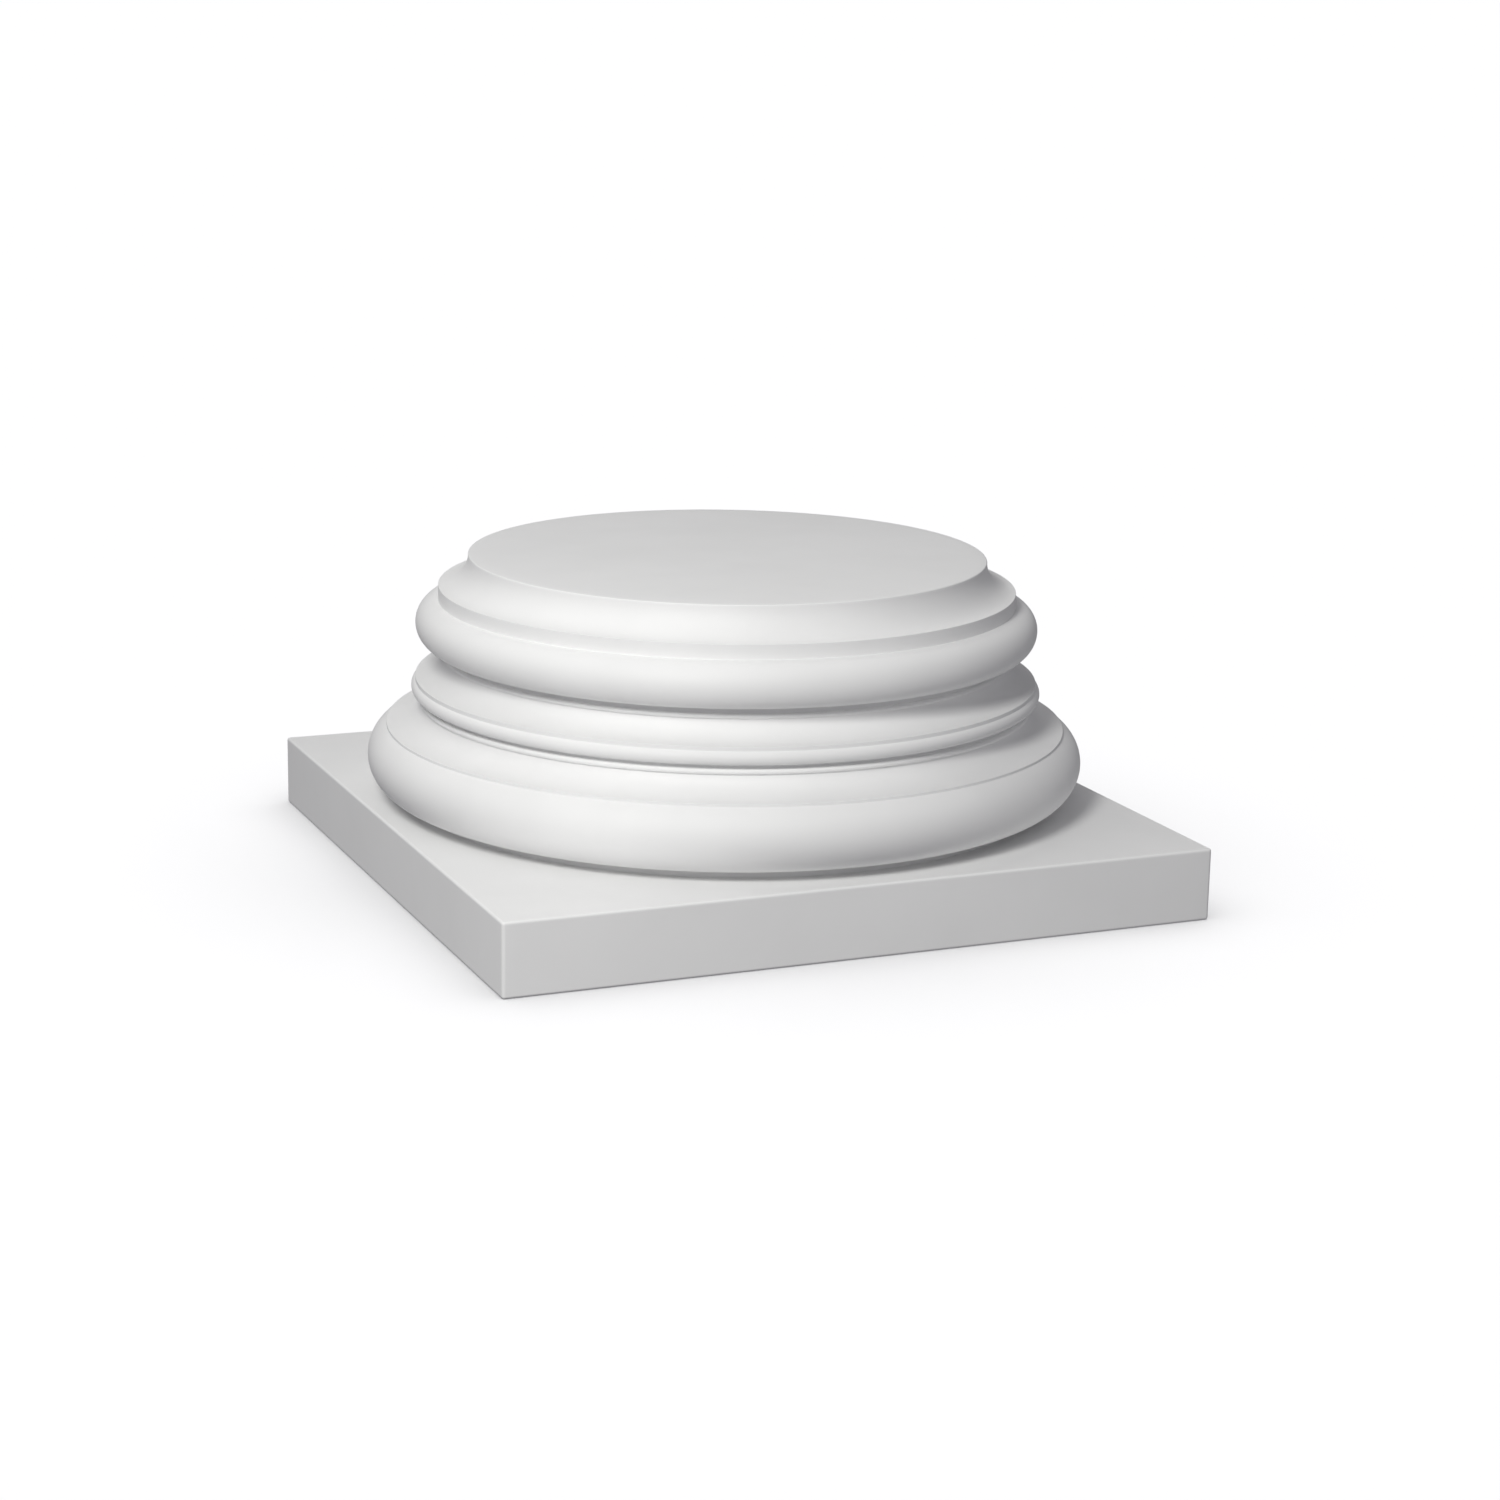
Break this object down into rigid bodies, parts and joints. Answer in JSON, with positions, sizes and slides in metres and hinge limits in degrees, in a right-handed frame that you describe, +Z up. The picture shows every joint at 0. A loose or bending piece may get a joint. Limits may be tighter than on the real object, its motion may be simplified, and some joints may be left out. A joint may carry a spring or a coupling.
{
  "type": "column base",
  "caption": "Square-plinthed round column base with tori, scotias, a bead and a flat seat for a shaft.",
  "frame": {"origin": "centre of the underside of the plinth", "axes": "+Z up through the centre of the round mouldings, X and Y square to the plinth's faces"},
  "size_m": [0.42, 0.42, 0.1844],
  "materials": {
    "primed_foam": "smooth white primer on a moulded skin, satin-matt"
  },
  "bodies": {
    "root": {"column_base": "primed_foam"}
  },
  "joints": []
}
